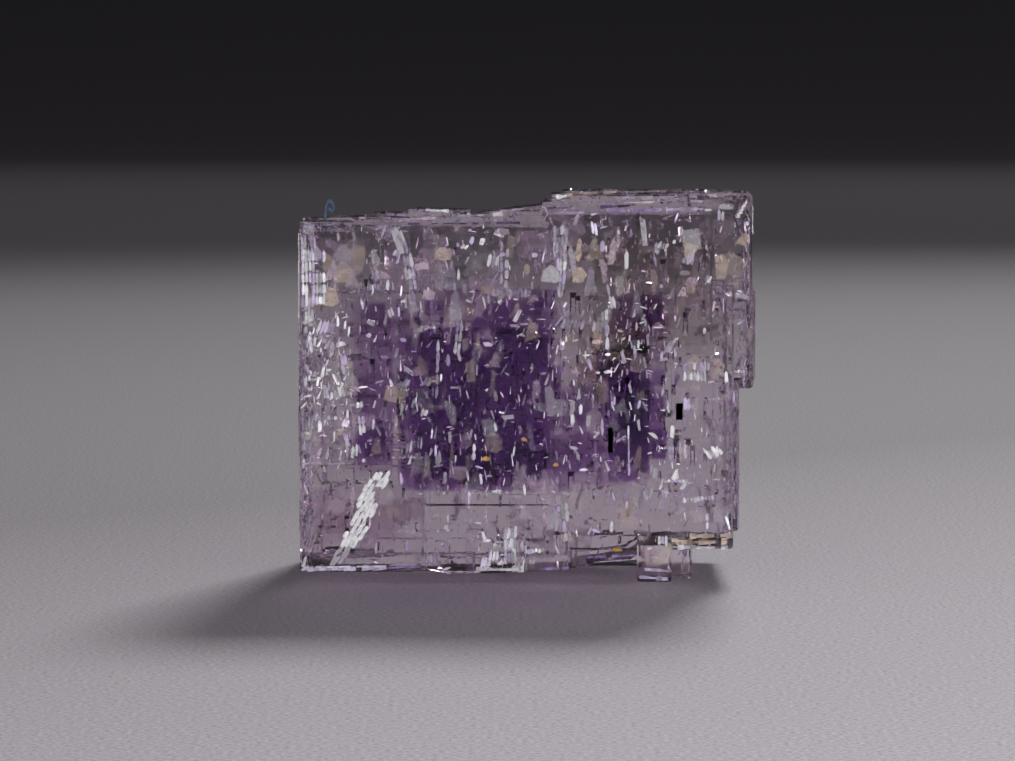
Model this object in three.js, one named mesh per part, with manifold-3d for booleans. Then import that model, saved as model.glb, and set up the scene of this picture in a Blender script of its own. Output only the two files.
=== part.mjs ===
// A fluorite specimen: one clear, lilac crystal of several cubes that grew together in parallel.
// Millimetres, +Z up. X runs across the broad front face, which looks along -Y.
// The origin is the middle of the bounding box's bottom, on the surface that the crystal stands on.
import * as THREE from "three";
import { ConvexGeometry } from "three/addons/geometries/ConvexGeometry.js";
import { mergeVertices } from "three/addons/utils/BufferGeometryUtils.js";
import Module from "manifold-3d";

const wasm = await Module();
wasm.setup();

// Driving dimensions.
const WIDTH = 20;
const DEPTH = 11;
const HEIGHT = 17;

const LEFT = -WIDTH / 2;
const RIGHT = WIDTH / 2;
const FRONT = -DEPTH / 2;
const BACK = DEPTH / 2;
const TOP = HEIGHT;

// Heights above the surface: each cube's underside and top.
const WEST_UNDERSIDE = 0.43;
const MIDDLE_UNDERSIDE = 0.35;
const EAST_UNDERSIDE = 1.4;
const WEST_TOP = 15.5;
const EAST_TOP = 16.1;

// Where the cubes meet or end, from left to right.
const WEST_SIDE = LEFT + 0.1;
const WEST_BASE_END = -4.5;
const EAST_START = 0.9;
const SEAM = 1.4;
const MIDDLE_END = 1.9;
const FOOT_LEFT = 4.8;
const FOOT_RIGHT = 7.2;
const EAST_CORNER = 8.05;
const EAST_FLANK = 9;
const EAST_STEP = 9.25;
const UPPER_SLAB_SIDE = RIGHT - 0.18;

// The broad faces at the front and the back.
const WEST_FACE = FRONT + 0.2;
const MIDDLE_FACE = FRONT + 0.08;
const EAST_FACE = FRONT + 0.12;
const SLAB_FACE = FRONT + 0.6;
const WEST_REAR = BACK - 0.5;
const FLANK_REAR = BACK - 0.3;

const FINE_BEVEL = 0.07; // on the foot's edges
const BEVEL = 0.09; // on most edges
const WORN_BEVEL = 0.12; // on the edges that are worn most
const SINK = 0.4; // how far a growth plate reaches into the cube under it
const RISER_LEAN = 0.25; // how far a plate's riser leans in, for each unit of its height

// A fixed sequence of numbers from 0 to 1, so that the small relief is the same at each build.
function sequence(seed) {
  const multiplier = 1664525;
  const increment = 1013904223;
  const range = 2 ** 32;
  let state = seed;
  return (low = 0, high = 1) => {
    state = (state * multiplier + increment) >>> 0;
    return low + ((high - low) * state) / range;
  };
}

function solidOf(geometry) {
  geometry.deleteAttribute("normal");
  geometry.deleteAttribute("uv");
  const weldDistance = 1e-4;
  const merged = mergeVertices(geometry, weldDistance);
  return new wasm.Manifold(
    new wasm.Mesh({
      numProp: 3,
      vertProperties: merged.attributes.position.array,
      triVerts: new Uint32Array(merged.index.array),
    }),
  );
}

// A convex solid round the given points.
function hullOf(points) {
  return solidOf(new ConvexGeometry(points));
}

// A cube of the cluster, which fills the given spans, with every edge bevelled.
function cube({ x, y, z, bevel = BEVEL }) {
  const spans = [x, y, z];
  const points = [];
  for (const signX of [0, 1]) {
    for (const signY of [0, 1]) {
      for (const signZ of [0, 1]) {
        const signs = [signX, signY, signZ];
        for (const flush of [0, 1, 2]) {
          const corner = spans.map(([low, high], axis) => {
            const inset = axis === flush ? 0 : bevel;
            return signs[axis] ? high - inset : low + inset;
          });
          points.push(new THREE.Vector3(...corner));
        }
      }
    }
  }
  return hullOf(points);
}

// A block whose outline, seen from the front, is the given convex [x, z] corners.
function block({ outline, y, bevel = BEVEL }) {
  const [front, back] = y;
  const middleX = outline.reduce((sum, p) => sum + p[0], 0) / outline.length;
  const middleZ = outline.reduce((sum, p) => sum + p[1], 0) / outline.length;
  const points = [];
  for (const [x, z] of outline) {
    const inset = bevel / Math.hypot(x - middleX, z - middleZ);
    const nearX = x + (middleX - x) * inset;
    const nearZ = z + (middleZ - z) * inset;
    points.push(new THREE.Vector3(nearX, front, nearZ));
    points.push(new THREE.Vector3(x, front + bevel, z));
    points.push(new THREE.Vector3(x, back - bevel, z));
    points.push(new THREE.Vector3(nearX, back, nearZ));
  }
  return hullOf(points);
}

// A wedge that cuts a sloping bevel along a lower front edge: rise high and depth deep.
function frontBevelCut({ x, front, low, rise, depth }) {
  const over = 0.5;
  const past = 0.5;
  const points = [];
  for (const end of x) {
    points.push(new THREE.Vector3(end, front - over, low + rise + (over * rise) / depth));
    points.push(new THREE.Vector3(end, front + depth * (1 + past), low - rise * past));
    points.push(new THREE.Vector3(end, front - over, low - rise * past));
  }
  return hullOf(points);
}

// A wedge that cuts off one corner of the cluster, reaching in by the given x, y and z.
function cornerCut({ corner, reach }) {
  const [x, y, z] = corner;
  const [inX, inY, inZ] = reach;
  return hullOf([
    new THREE.Vector3(x, y, z),
    new THREE.Vector3(x + inX, y, z),
    new THREE.Vector3(x, y + inY, z),
    new THREE.Vector3(x, y, z + inZ),
  ]);
}

// For each way that a face can look: the direction out of it, and u and v along it.
const AXES = {
  front: { out: [0, -1, 0], u: [1, 0, 0], v: [0, 0, 1] },
  back: { out: [0, 1, 0], u: [1, 0, 0], v: [0, 0, 1] },
  left: { out: [-1, 0, 0], u: [0, 1, 0], v: [0, 0, 1] },
  right: { out: [1, 0, 0], u: [0, 1, 0], v: [0, 0, 1] },
  top: { out: [0, 0, 1], u: [1, 0, 0], v: [0, 1, 0] },
  under: { out: [0, 0, -1], u: [1, 0, 0], v: [0, 1, 0] },
};

// A flat face that plates and pits sit on: which way it looks, where it lies, and the rectangle
// that its small relief spans.
function face(side, level, u, v) {
  const axes = Object.fromEntries(
    Object.entries(AXES[side]).map(([name, xyz]) => [name, new THREE.Vector3(...xyz)]),
  );
  return { ...axes, level, uSpan: u, vSpan: v };
}

// The point u, v on a face, a distance above it.
function pointOn(place, u, v, above) {
  const sign = place.out.x + place.out.y + place.out.z;
  return new THREE.Vector3()
    .addScaledVector(place.u, u)
    .addScaledVector(place.v, v)
    .addScaledVector(place.out, place.level * sign + above);
}

// A thin growth plate on a face: a convex outline of [u, v] corners. It is height thick where u is
// lowest, and height times tilt where u is highest.
function plate(place, { outline, height, tilt = 1 }) {
  const deepestInset = 0.4;
  const middleU = outline.reduce((sum, p) => sum + p[0], 0) / outline.length;
  const middleV = outline.reduce((sum, p) => sum + p[1], 0) / outline.length;
  const lowU = Math.min(...outline.map((p) => p[0]));
  const widthU = Math.max(...outline.map((p) => p[0])) - lowU;
  const points = [];
  for (const [u, v] of outline) {
    const away = Math.hypot(u - middleU, v - middleV);
    const raised = height * (1 + (tilt - 1) * ((u - lowU) / widthU));
    const inset = Math.min(deepestInset, (raised * RISER_LEAN) / away);
    const nearU = u + (middleU - u) * inset;
    const nearV = v + (middleV - v) * inset;
    points.push(pointOn(place, u, v, -SINK));
    points.push(pointOn(place, u, v, 0));
    points.push(pointOn(place, nearU, nearV, raised));
  }
  return hullOf(points);
}

function rectangle([u0, u1], [v0, v1]) {
  return [[u0, v0], [u1, v0], [u1, v1], [u0, v1]];
}

// A stack of plates on one part of a face, each smaller than the one below and drawn in towards
// the same place (0 to 1 along u and v). This is how the faces grew: in low, parallel steps.
function terrace(place, { u, v, steps, rise, towards }) {
  const lastShare = 0.7; // how wide the last step is, in steps
  const made = [];
  for (let step = 0; step < steps; step += 1) {
    const shrink = step / (steps + lastShare);
    const narrowU = (u[1] - u[0]) * shrink;
    const narrowV = (v[1] - v[0]) * shrink;
    const uSpan = [u[0] + narrowU * towards[0], u[1] - narrowU * (1 - towards[0])];
    const vSpan = [v[0] + narrowV * towards[1], v[1] - narrowV * (1 - towards[1])];
    made.push(plate(place, { outline: rectangle(uSpan, vSpan), height: rise * (step + 1) }));
  }
  return made;
}

function terraces(place, table) {
  return Object.values(table).flatMap((entry) => terrace(place, entry));
}

// A rectangular etch pit, with sloping walls and a small flat floor.
function pit(place, { u, v, width, length, depth }) {
  const rim = 0.1;
  const floorShare = 0.55;
  const spread = 1 + ((1 - floorShare) * rim) / depth;
  const points = [];
  for (const [signU, signV] of rectangle([-1, 1], [-1, 1])) {
    const toU = (signU * width) / 2;
    const toV = (signV * length) / 2;
    points.push(pointOn(place, u + toU * spread, v + toV * spread, rim));
    points.push(pointOn(place, u + toU * floorShare, v + toV * floorShare, -depth));
  }
  return hullOf(points);
}

// The cubes of the west half: the main one, a rim round its side, and two that form its base.
function westCubes() {
  const body = block({
    outline: [
      [WEST_SIDE, WEST_UNDERSIDE + 0.1],
      [SEAM, WEST_UNDERSIDE + 0.1],
      [SEAM, WEST_TOP],
      [-4.9, WEST_TOP],
      [WEST_SIDE, WEST_TOP + 0.2],
    ],
    y: [WEST_FACE, WEST_REAR],
  });
  const rim = cube({ x: [LEFT, -6], y: [FRONT + 0.7, BACK - 1.7], z: [5.4, 12.95] });
  const base = block({
    outline: [
      [WEST_SIDE, WEST_UNDERSIDE + 0.2],
      [-9.5, WEST_UNDERSIDE],
      [-6.3, WEST_UNDERSIDE],
      [WEST_BASE_END, WEST_UNDERSIDE + 0.27],
      [WEST_BASE_END, 5.1],
      [WEST_SIDE, 5.1],
    ],
    y: [FRONT, BACK - 0.9],
    bevel: WORN_BEVEL,
  });
  const middle = block({
    outline: [
      [WEST_BASE_END + 0.05, MIDDLE_UNDERSIDE + 0.2],
      [-3.3, MIDDLE_UNDERSIDE],
      [-1.4, MIDDLE_UNDERSIDE],
      [MIDDLE_END, MIDDLE_UNDERSIDE + 0.17],
      [MIDDLE_END, 3.4],
      [WEST_BASE_END + 0.05, 3.4],
    ],
    y: [MIDDLE_FACE, BACK - 0.7],
    bevel: WORN_BEVEL,
  });
  return [body, rim, base, middle];
}

// The cubes of the east half: the main one, a flank, a base whose underside climbs to the right,
// and a step low on the flank.
function eastCubes() {
  const body = cube({
    x: [EAST_START, EAST_CORNER],
    y: [EAST_FACE, BACK],
    z: [EAST_UNDERSIDE, EAST_TOP],
  });
  const flank = cube({
    x: [EAST_START, EAST_FLANK],
    y: [EAST_FACE + 0.1, FLANK_REAR],
    z: [EAST_UNDERSIDE, 12.9],
  });
  const base = block({
    outline: [
      [MIDDLE_END, 0.65],
      [3, 0.74],
      [4.5, 0.96],
      [FOOT_LEFT + 0.2, 1.3],
      [FOOT_LEFT + 0.2, 3],
      [MIDDLE_END, 3],
    ],
    y: [EAST_FACE + 0.1, BACK - 1.2],
  });
  const step = cube({
    x: [6.4, EAST_STEP],
    y: [EAST_FACE + 0.16, BACK - 0.6],
    z: [2.2, 8.7],
    bevel: WORN_BEVEL,
  });
  return [body, flank, base, step];
}

// The slab that stands out on the right, in three lifts.
const SLAB_CUBES = {
  upper: { x: [7, UPPER_SLAB_SIDE], y: [SLAB_FACE, BACK - 1.1], z: [12.2, TOP - 0.06] },
  middle: { x: [7, RIGHT], y: [SLAB_FACE + 0.2, BACK - 1.6], z: [8.75, 12.7] },
  lower: { x: [7, RIGHT - 0.1], y: [SLAB_FACE + 0.4, BACK - 2.4], z: [8.4, 10] },
};

// The small double cube at the front that the crystal stands on.
const FOOT_CUBES = {
  tall: { x: [FOOT_LEFT, 6.3], y: [FRONT, FRONT + 3], z: [0, 4], bevel: FINE_BEVEL },
  short: { x: [6, FOOT_RIGHT], y: [FRONT + 0.45, FRONT + 2.4], z: [0.12, 3.2], bevel: FINE_BEVEL },
};

// Small cubes that grew out of the back and the sides.
const BACK_CUBES = {
  westUpper: { x: [-8.4, -4.3], y: [0, BACK - 0.08], z: [7.6, 12.4] },
  westMiddle: { x: [-5.2, -2.2], y: [0, BACK - 0.26], z: [5.9, 9.3] },
  middleLow: { x: [-1.9, 0.9], y: [0, BACK - 0.16], z: [1.1, 5.2] },
  westLow: { x: [-9.3, -6.6], y: [0, BACK - 0.2], z: [0.63, 3.8] },
  eastLow: { x: [5.4, 8.6], y: [0, BACK - 0.02], z: [2.6, 5.9] },
  eastSide: { x: [7.6, 9.4], y: [-1.4, 2.9], z: [4.1, 7.3] },
  westSide: { x: [LEFT + 0.02, -7], y: [0.6, 3.7], z: [2.3, 4.9] },
};

// The ledges of the underside that the crystal stands on, with the foot. They lie behind the
// front edge, so the edge itself stands clear of the surface.
const LEDGES = {
  west: { x: [-8.6, -2.6], y: [-0.85, 4.3], z: [0, 1.5] },
  middle: { x: [-3.4, 2.3], y: [0.6, 4.7], z: [0, 1.5] },
  east: { x: [2, 5.4], y: [1.6, 3.9], z: [0, 2.4] },
};

function smallCubes() {
  const worn = [SLAB_CUBES, BACK_CUBES, LEDGES].flatMap((table) => Object.values(table));
  return [
    ...worn.map((spans) => cube({ ...spans, bevel: WORN_BEVEL })),
    ...Object.values(FOOT_CUBES).map(cube),
  ];
}

// The tiers that raise the east cube's top, each set back behind the one below.
const EAST_TIERS = {
  first: { outline: [[0.75, -4.9], [7.7, -5.1], [8.7, -4.2], [8.9, 5], [0.6, 5]], height: 0.26 },
  second: { outline: [[0.6, -4], [4, -4.3], [8.9, -3.9], [8.9, 4.7], [0.8, 4.6]], height: 0.43 },
  third: {
    outline: [[0.98, -2.9], [3.1, -3.3], [8.9, -3.2], [9.3, 4.2], [3.2, 4.4], [1, 3.4]],
    height: 0.74,
  },
  highest: {
    outline: [[1.35, -1.9], [6.2, -2.3], [9.1, -2], [9, 3.8], [1.5, 3.1]],
    height: TOP - EAST_TOP,
  },
};

// The thin, wavy growth layers on the west cube's top.
const WEST_LAYERS = {
  broad: {
    outline: [[-7.6, -3.8], [1.2, -4.4], [1.3, 4.6], [-8.2, 4.4]],
    height: 0.26,
    tilt: 1.3,
  },
  front: {
    outline: [[-6.1, -4.3], [-1, -4.8], [1.2, -4.2], [1.3, 3.6], [-5.2, 3.9]],
    height: 0.34,
    tilt: 1.3,
  },
  westMound: {
    outline: [[-6.4, -1.9], [-4.9, -2.4], [-4, 3], [-6.9, 3.3]],
    height: 0.46,
    tilt: 1.1,
  },
  crest: {
    outline: [[-5.3, -2.4], [-3.2, -2.9], [-2.4, 1.6], [-4.9, 2.6]],
    height: 0.7,
    tilt: 0.88,
  },
  middleMound: {
    outline: [[-3.6, -1.2], [0.7, -1.6], [1, 2.8], [-2.9, 3.3]],
    height: 0.48,
    tilt: 1.35,
  },
  ramp: {
    outline: [[-1.7, -3.4], [1.3, -3.7], [1.4, 0.8], [-1.2, 1.3]],
    height: 0.6,
    tilt: 1.6,
  },
  backCorner: {
    outline: [[-9.6, 0.4], [-6.3, -0.2], [-5.8, 4.4], [-9.6, 4.5]],
    height: 0.2,
    tilt: 1.6,
  },
  frontSliver: {
    outline: [[-2.6, -4.9], [-0.6, -5], [0.3, -4.4], [-2.9, -4.2]],
    height: 0.18,
    tilt: 1.4,
  },
};

function topLayers() {
  const eastRoof = face("top", EAST_TOP);
  const westRoof = face("top", WEST_TOP);
  return [
    ...Object.values(EAST_TIERS).map((entry) => plate(eastRoof, entry)),
    ...Object.values(WEST_LAYERS).map((entry) => plate(westRoof, entry)),
  ];
}

// The terraces of each broad face, named by their place on it.
const WEST_FRONT_TERRACES = {
  upperLeft: { u: [-9.5, -6.35], v: [12.6, 15.3], steps: 2, rise: 0.07, towards: [0, 1] },
  leftEdge: { u: [-9.3, -7.5], v: [7.9, 11.7], steps: 2, rise: 0.06, towards: [0, 0.4] },
  upperMiddle: { u: [-6.2, -1.2], v: [12.4, 15.2], steps: 3, rise: 0.055, towards: [0.8, 1] },
  leftMiddle: { u: [-7.2, -4.9], v: [6, 12.1], steps: 2, rise: 0.07, towards: [1, 0.3] },
  middle: { u: [-4.7, -2], v: [6.6, 11.4], steps: 3, rise: 0.05, towards: [0.4, 1] },
  lowBySeam: { u: [-2.1, 1], v: [3.8, 9.6], steps: 2, rise: 0.08, towards: [1, 0] },
  highBySeam: { u: [-0.95, 1.25], v: [10.4, 15.2], steps: 3, rise: 0.06, towards: [1, 0.7] },
};
const EAST_FRONT_TERRACES = {
  upperLeft: { u: [1.5, 4.2], v: [11.6, 15.7], steps: 2, rise: 0.05, towards: [0, 1] },
  upperRight: { u: [4.4, 7.8], v: [10.8, 15.8], steps: 2, rise: 0.05, towards: [1, 1] },
  lowerLeft: { u: [1.6, 5], v: [4.4, 10.1], steps: 2, rise: 0.055, towards: [0, 0.5] },
  right: { u: [5.2, 8.1], v: [6.8, 10.5], steps: 2, rise: 0.055, towards: [1, 0.2] },
  lowerRight: { u: [5, 8], v: [2, 6.3], steps: 2, rise: 0.05, towards: [0.6, 0] },
};
const WEST_BACK_TERRACES = {
  upperWest: { u: [-9.6, -4.9], v: [9.6, 15.2], steps: 4, rise: 0.1, towards: [0, 1] },
  upperMiddle: { u: [-4.6, 0.6], v: [9.9, 15], steps: 4, rise: 0.11, towards: [0.9, 0.8] },
  low: { u: [-9.2, -1.7], v: [1.2, 6.9], steps: 3, rise: 0.1, towards: [0.3, 0] },
  bySeam: { u: [-2.3, 0.8], v: [4.9, 9.6], steps: 3, rise: 0.12, towards: [1, 0.4] },
};
const FLANK_BACK_TERRACES = {
  right: { u: [4.3, 8.9], v: [6.6, 12.6], steps: 2, rise: 0.13, towards: [1, 0.4] },
};
const LEFT_TERRACES = {
  front: { u: [-5, 0.4], v: [9.8, 15.2], steps: 3, rise: 0.032, towards: [0, 1] },
  back: { u: [-0.2, 4.5], v: [5.6, 11.5], steps: 2, rise: 0.045, towards: [1, 0.6] },
};
const UNDER_TERRACES = {
  front: { u: [-9.1, -3.2], v: [-4.8, -1.1], steps: 2, rise: 0.12, towards: [0.2, 0.5] },
};

function growthTerraces() {
  return [
    ...terraces(face("front", WEST_FACE), WEST_FRONT_TERRACES),
    ...terraces(face("front", EAST_FACE), EAST_FRONT_TERRACES),
    ...terraces(face("back", WEST_REAR), WEST_BACK_TERRACES),
    ...terraces(face("back", FLANK_REAR), FLANK_BACK_TERRACES),
    ...terraces(face("left", WEST_SIDE), LEFT_TERRACES),
    ...terraces(face("under", WEST_UNDERSIDE + 0.1), UNDER_TERRACES),
  ];
}

// The broad faces of the cubes, which carry the small relief.
const FACES = {
  westFront: face("front", WEST_FACE, [-9.6, 0.9], [5.3, 15.2]),
  westBaseFront: face("front", FRONT, [-9.3, -4.8], [1.1, 4.9]),
  middleFront: face("front", MIDDLE_FACE, [-4.2, 1.6], [0.9, 3.1]),
  eastFront: face("front", EAST_FACE, [1.6, 7.8], [3, 15.7]),
  eastStepFront: face("front", EAST_FACE + 0.16, [7.9, 9.1], [2.4, 8.3]),
  slabFront: face("front", SLAB_FACE, [8.1, 9.7], [12.4, 16.8]),
  westBack: face("back", WEST_REAR, [-9.5, 0.4], [0.9, 15.2]),
  eastBack: face("back", BACK, [1.3, 7.9], [1.8, 15.8]),
  left: face("left", WEST_SIDE, [-5, 4.7], [5.6, 15.3]),
  baseLeft: face("left", WEST_SIDE, [-5.1, 4.2], [1, 4.8]),
  rimLeft: face("left", LEFT, [-4.5, 3.5], [5.7, 12.7]),
  flankRight: face("right", EAST_FLANK, [-4.9, 4.9], [9.2, 12.4]),
  stepRight: face("right", EAST_STEP, [-4.9, 4.6], [2.4, 8.2]),
  middleSlabRight: face("right", RIGHT, [-4.5, 3.7], [9, 12.5]),
  upperSlabRight: face("right", UPPER_SLAB_SIDE, [-4.7, 4.2], [13, 16.7]),
  westUnder: face("under", WEST_UNDERSIDE + 0.1, [-9, -0.4], [-4.9, -1.2]),
  eastUnder: face("under", EAST_UNDERSIDE, [5.8, 8.7], [-2, 4.7]),
};

// How many small plates a face has, and how broad and how high the biggest of them is.
const SMALL_PLATES = {
  westFront: { count: 7, size: 0.8, height: 0.08 },
  eastFront: { count: 6, size: 0.7, height: 0.07 },
  slabFront: { count: 2, size: 0.5, height: 0.1 },
  westBack: { count: 5, size: 1.2, height: 0.4 },
  left: { count: 5, size: 1, height: 0.08 },
  baseLeft: { count: 3, size: 0.9, height: 0.08 },
  flankRight: { count: 2, size: 0.8, height: 0.2 },
  stepRight: { count: 6, size: 1, height: 0.14 },
  upperSlabRight: { count: 5, size: 0.8, height: 0.12 },
  westUnder: { count: 3, size: 0.8, height: 0.12 },
  eastUnder: { count: 3, size: 0.8, height: 0.2 },
};

// How many etch pits a face has, and how big the biggest of them is.
const ETCH_PITS = {
  westFront: { count: 12, width: 0.28, length: 1.1, depth: 0.2 },
  eastFront: { count: 10, width: 0.28, length: 1, depth: 0.2 },
  eastStepFront: { count: 2, width: 0.25, length: 0.8, depth: 0.14 },
  westBaseFront: { count: 3, width: 0.3, length: 0.9, depth: 0.2 },
  middleFront: { count: 3, width: 0.25, length: 0.6, depth: 0.18 },
  westBack: { count: 9, width: 0.45, length: 1.4, depth: 0.3 },
  eastBack: { count: 13, width: 0.5, length: 1.5, depth: 0.22 },
  rimLeft: { count: 6, width: 0.4, length: 1, depth: 0.2 },
  middleSlabRight: { count: 5, width: 0.35, length: 0.9, depth: 0.18 },
  upperSlabRight: { count: 3, width: 0.35, length: 0.7, depth: 0.18 },
};

// Small plates over one face, each a slightly crooked rectangle.
function scatterPlates(place, { count, size, height }, random) {
  const crook = () => random(-0.05, 0.05) * size;
  const made = [];
  for (let n = 0; n < count; n += 1) {
    const halfU = random(0.35, 1) * size;
    const halfV = random(0.35, 1) * size * random(0.8, 1.8);
    const u = random(place.uSpan[0] + halfU, place.uSpan[1] - halfU);
    const v = random(place.vSpan[0] + halfV, place.vSpan[1] - halfV);
    const corners = rectangle([u - halfU, u + halfU], [v - halfV, v + halfV]);
    const outline = corners.map(([cornerU, cornerV]) => [cornerU + crook(), cornerV + crook()]);
    made.push(plate(place, { outline, height: random(0.35, 1) * height, tilt: random(0.6, 1.5) }));
  }
  return made;
}

// Etch pits over one face, most of them longer than wide.
function scatterPits(place, { count, width, length, depth }, random) {
  const made = [];
  for (let n = 0; n < count; n += 1) {
    const u = random(place.uSpan[0] + width, place.uSpan[1] - width);
    const v = random(place.vSpan[0] + length, place.vSpan[1] - length);
    made.push(
      pit(place, {
        u,
        v,
        length: length * random(0.4, 1),
        width: width * random(0.5, 1),
        depth: depth * random(0.6, 1),
      }),
    );
  }
  return made;
}

function smallRelief() {
  const random = sequence(7);
  const raised = Object.entries(SMALL_PLATES).flatMap(([name, sizes]) =>
    scatterPlates(FACES[name], sizes, random),
  );
  const sunken = Object.entries(ETCH_PITS).flatMap(([name, sizes]) =>
    scatterPits(FACES[name], sizes, random),
  );
  return { raised, sunken };
}

// Corners that broke off: where each one was, and how far in the break reaches.
const CHIPPED_CORNERS = {
  slabFront: { corner: [RIGHT + 0.1, SLAB_FACE - 0.3, TOP + 0.2], reach: [-1.3, 1.6, -1] },
  westFoot: { corner: [LEFT - 0.2, FRONT - 0.2, WEST_UNDERSIDE - 0.2], reach: [1.1, 0.8, 0.9] },
  westBack: { corner: [LEFT, BACK - 0.3, WEST_TOP + 0.4], reach: [1.5, -1.4, -1.7] },
  slabBack: { corner: [RIGHT, BACK - 1, TOP + 0.1], reach: [-1.6, -1.3, -0.9] },
};

// The worn lower front edges.
const WORN_EDGES = {
  west: { x: [LEFT - 0.1, -6], front: FRONT, low: WEST_UNDERSIDE, rise: 0.34, depth: 0.3 },
  middle: { x: [-1.6, -0.4], front: MIDDLE_FACE, low: MIDDLE_UNDERSIDE, rise: 0.3, depth: 0.4 },
  eastBase: { x: [2.6, 4.4], front: EAST_FACE + 0.1, low: 0.74, rise: 0.3, depth: 0.4 },
  east: {
    x: [FOOT_RIGHT, EAST_STEP + 0.2],
    front: EAST_FACE,
    low: EAST_UNDERSIDE,
    rise: 0.56,
    depth: 0.5,
  },
};

// Layers that lean over each other can close off a bubble or cut off a crumb. This keeps only the
// crystal's outer skin.
function outerSkin(solid) {
  const shells = solid.decompose();
  return shells.reduce((best, shell) => (shell.volume() > best.volume() ? shell : best));
}

function crystal() {
  const { raised, sunken } = smallRelief();
  const grown = wasm.Manifold.union([
    ...westCubes(),
    ...eastCubes(),
    ...smallCubes(),
    ...topLayers(),
    ...growthTerraces(),
    ...raised,
  ]);
  const lost = wasm.Manifold.union([
    ...sunken,
    ...Object.values(CHIPPED_CORNERS).map(cornerCut),
    ...Object.values(WORN_EDGES).map(frontBevelCut),
  ]);
  const bounds = cube({ x: [LEFT, RIGHT], y: [FRONT, BACK], z: [0, TOP], bevel: 0.02 });
  return outerSkin(grown.intersect(bounds).subtract(lost));
}

function geometryOf(solid) {
  const { vertProperties, triVerts } = solid.getMesh();
  const geometry = new THREE.BufferGeometry();
  geometry.setAttribute("position", new THREE.BufferAttribute(vertProperties, 3));
  geometry.setIndex(new THREE.BufferAttribute(triVerts, 1));
  return geometry;
}

const fluorite = new THREE.MeshStandardMaterial({
  color: 0x9d86a4,
  roughness: 0.08,
  metalness: 0,
  transparent: true,
  opacity: 0.55,
});

const specimen = new THREE.Group();
const body = new THREE.Mesh(geometryOf(crystal()), fluorite);
body.name = "fluorite_crystal";
specimen.add(body);

export default specimen;
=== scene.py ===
"""The looks of a fluorite specimen: a clear, lilac cluster of cubes with a dark violet zone inside,
silvery flakes, gold specks and a lint fibre, standing on a pale floor in soft studio light.

Lengths are named in millimetres and turned into metres where the meshes are made.
"""

import itertools
import math
import random

import bmesh
import bpy
from mathutils import Matrix, Vector
from mathutils.bvhtree import BVHTree


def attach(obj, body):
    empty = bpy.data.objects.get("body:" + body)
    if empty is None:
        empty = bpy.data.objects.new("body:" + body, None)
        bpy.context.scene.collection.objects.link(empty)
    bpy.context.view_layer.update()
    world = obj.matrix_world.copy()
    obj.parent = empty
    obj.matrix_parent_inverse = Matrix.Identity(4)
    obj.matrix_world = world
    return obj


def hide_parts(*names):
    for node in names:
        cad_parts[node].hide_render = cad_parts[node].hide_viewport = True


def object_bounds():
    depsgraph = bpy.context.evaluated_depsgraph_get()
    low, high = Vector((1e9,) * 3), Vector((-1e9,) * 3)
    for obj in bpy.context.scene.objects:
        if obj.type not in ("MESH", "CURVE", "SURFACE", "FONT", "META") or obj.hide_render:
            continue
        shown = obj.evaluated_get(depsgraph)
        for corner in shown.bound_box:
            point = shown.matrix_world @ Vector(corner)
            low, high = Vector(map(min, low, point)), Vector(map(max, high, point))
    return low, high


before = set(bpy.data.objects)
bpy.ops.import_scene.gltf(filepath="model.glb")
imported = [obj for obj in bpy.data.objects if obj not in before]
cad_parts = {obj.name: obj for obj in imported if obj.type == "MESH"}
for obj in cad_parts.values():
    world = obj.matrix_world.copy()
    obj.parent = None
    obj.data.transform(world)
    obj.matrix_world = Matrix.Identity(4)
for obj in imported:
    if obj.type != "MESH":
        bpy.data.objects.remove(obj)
CAD_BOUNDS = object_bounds()

MM = 0.001
NODE = "fluorite_crystal"

# The photograph's own frame, and the place in it of the crystal's front face.
PHOTO_WIDTH = 1015
PHOTO_CENTRE = (507.5, 380.5)
PIXELS_PER_MM = 23
GROUND_ROW = 583
MIDDLE_COLUMN = 527

CAMERA_DISTANCE = 200
CAMERA_HEIGHT = 20.5
SENSOR_WIDTH = 36

FLUORITE_IOR = 1.434

# The growth plates of each side, coarse and then fine, as (grid cell, how full the grid is, the most
# they rise, their slope), and its etch pits, as (grid cell, size, depth), in mm.
PLATES = (((1.5, 2.1), 0.75, 0.03, 0.05), ((0.8, 1.1), 0.6, 0.02, 0.06))
PITS = (0.6, 0.32, 0.12)

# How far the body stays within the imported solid's box, in mm, so that its growth steps and the flakes
# on it lie within that box as well.
SKIN_ROOM = 0.035

# Each side of the crystal: two directions along it, and the one that points out of it.
SIDES = {
    "front": (Vector((1, 0, 0)), Vector((0, 0, 1)), Vector((0, -1, 0))),
    "back": (Vector((-1, 0, 0)), Vector((0, 0, 1)), Vector((0, 1, 0))),
    "left": (Vector((0, -1, 0)), Vector((0, 0, 1)), Vector((-1, 0, 0))),
    "right": (Vector((0, 1, 0)), Vector((0, 0, 1)), Vector((1, 0, 0))),
    "top": (Vector((1, 0, 0)), Vector((0, 1, 0)), Vector((0, 0, 1))),
}

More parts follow.
